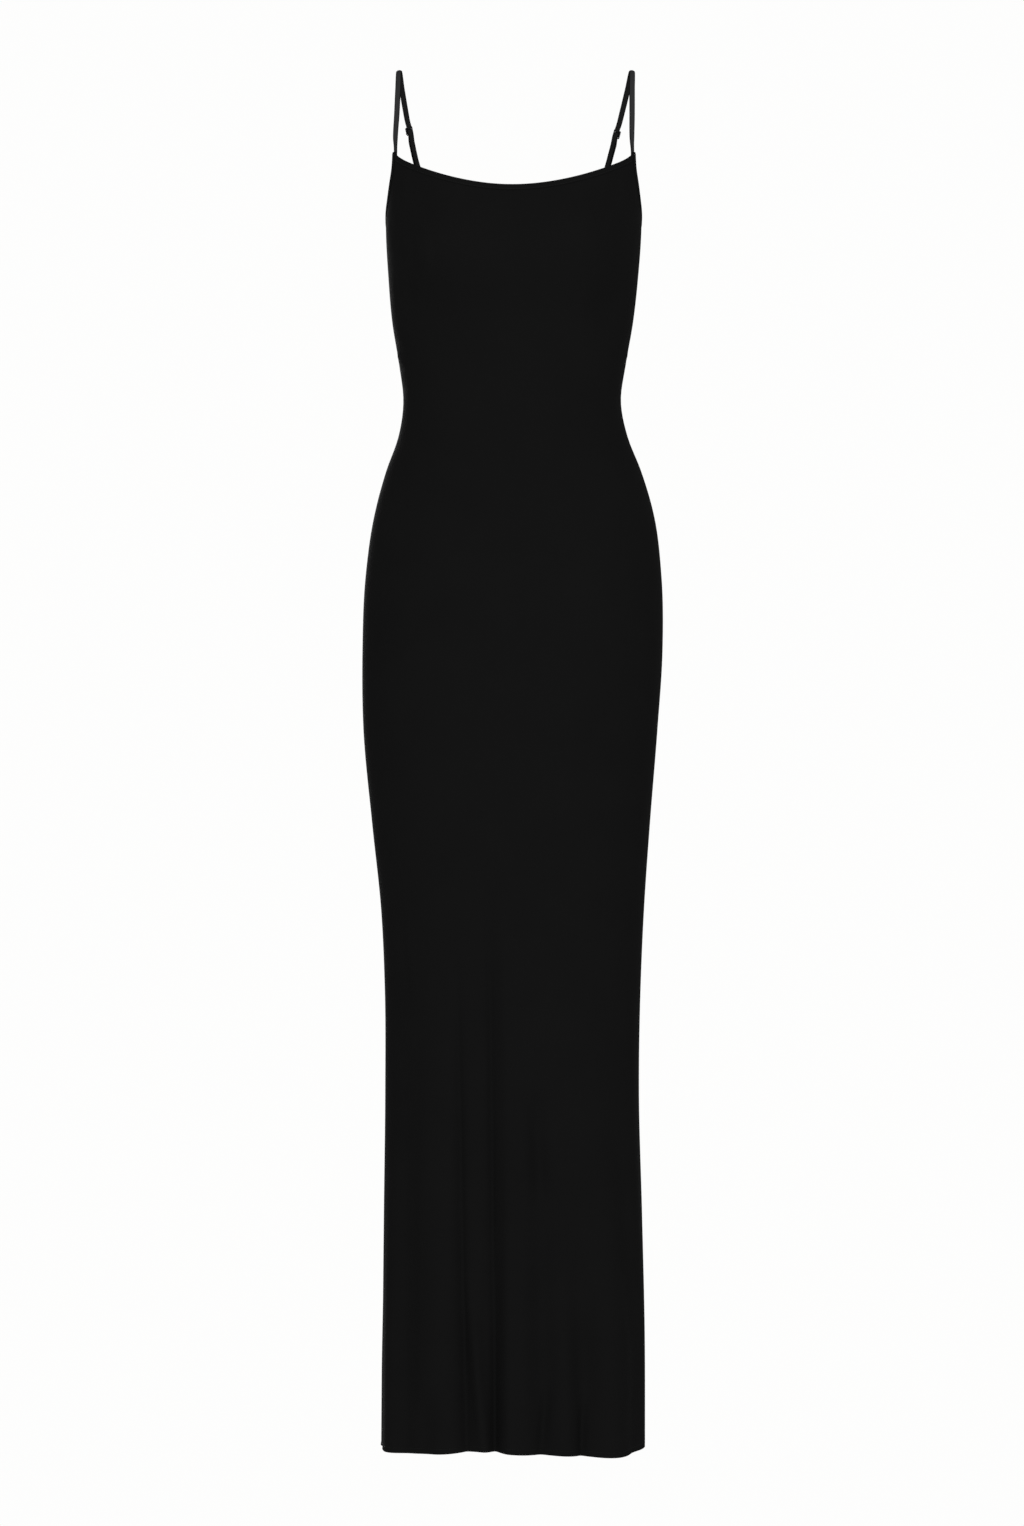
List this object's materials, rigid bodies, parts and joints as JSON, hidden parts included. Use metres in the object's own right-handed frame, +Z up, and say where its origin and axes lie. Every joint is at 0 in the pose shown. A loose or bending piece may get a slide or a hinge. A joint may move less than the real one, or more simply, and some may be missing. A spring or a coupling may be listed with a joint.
{
  "type": "slip dress",
  "caption": "Full-length sleeveless slip dress in stretch jersey, in its open worn shape, with narrow straps that sliders adjust at the back.",
  "frame": {"origin": "midway between the two places where the straps rest on the shoulders, level with the straps' undersides", "axes": "+Z up, -Y out of the dress's front, +X towards the wearer's left"},
  "size_m": [0.316, 0.2239, 1.4484],
  "materials": {
    "jersey": "matte black stretch jersey with a faint soft sheen",
    "strap_webbing": "black elastic webbing with a satin face",
    "coated_metal": "smooth black coating"
  },
  "bodies": {
    "root": {"front_panel": "jersey", "back_panel": "jersey", "neck_binding_front": "jersey", "neck_binding_back": "jersey", "armhole_binding_left": "jersey", "armhole_binding_right": "jersey", "strap_left": "strap_webbing", "strap_right": "strap_webbing", "ring_tab_left": "strap_webbing", "ring_tab_right": "strap_webbing", "slider_left": "coated_metal", "slider_right": "coated_metal", "ring_left": "coated_metal", "ring_right": "coated_metal"}
  },
  "joints": []
}
